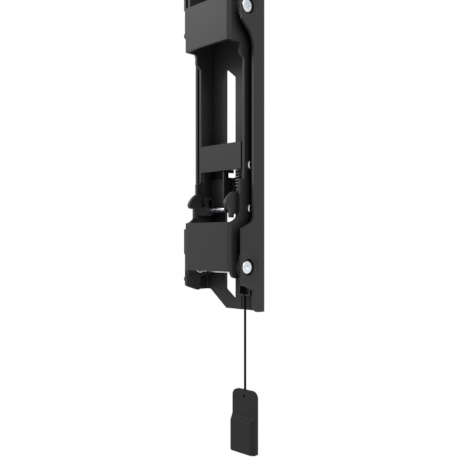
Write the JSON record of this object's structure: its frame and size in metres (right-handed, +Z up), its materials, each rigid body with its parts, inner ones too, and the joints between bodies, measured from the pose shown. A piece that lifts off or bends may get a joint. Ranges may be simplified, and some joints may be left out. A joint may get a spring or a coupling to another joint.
{
  "type": "fixed tv bracket arm",
  "caption": "Upright display arm of a fixed wall bracket: folded steel channel and carriage, rail recess, sprung slide latch and pull cord with tag.",
  "frame": {"origin": "on the display face of the channel's web, on its centre line, level with the middle of the upper strap", "axes": "+X across the arm, +Y out of the display face towards the display, +Z up along the arm"},
  "size_m": [0.071, 0.0355, 0.417],
  "materials": {
    "powder_coat": "matt black powder coat",
    "zinc": "bright zinc plate",
    "moulding": "black moulded plastic",
    "cord": "black braided cord",
    "spring_steel": "bare spring wire",
    "tag_rubber": "satin black tag"
  },
  "bodies": {
    "arm": {"channel": "powder_coat", "carriage": "powder_coat", "upper_pin": "zinc", "guide_rod": "zinc", "lower_rod": "zinc", "cord_guide": "moulding", "return_spring": "spring_steel", "bolt_upper_left": "zinc", "bolt_upper_right": "zinc", "bolt_lower_left": "zinc", "bolt_lower_right": "zinc", "washer_upper_left": "zinc", "washer_upper_right": "zinc", "washer_lower_left": "zinc", "washer_lower_right": "zinc", "nut_upper_left": "zinc", "nut_upper_right": "zinc", "nut_lower_left": "zinc", "nut_lower_right": "zinc"},
    "latch": {"latch_slide": "powder_coat", "latch_nose_left": "moulding", "latch_nose_right": "moulding", "cord_ferrule": "zinc", "pull_cord": "cord", "cord_knot": "cord", "pull_tag": "tag_rubber", "tag_magnet": "zinc"}
  },
  "joints": [
    {"name": "latch_pull", "type": "slide", "parent": "arm", "child": "latch", "axis": [0, 0, -1], "range_m": [0, 0.007], "stiffness_N_per_m": 600, "springref_m": -0.01, "deforming": ["return_spring"]}
  ]
}
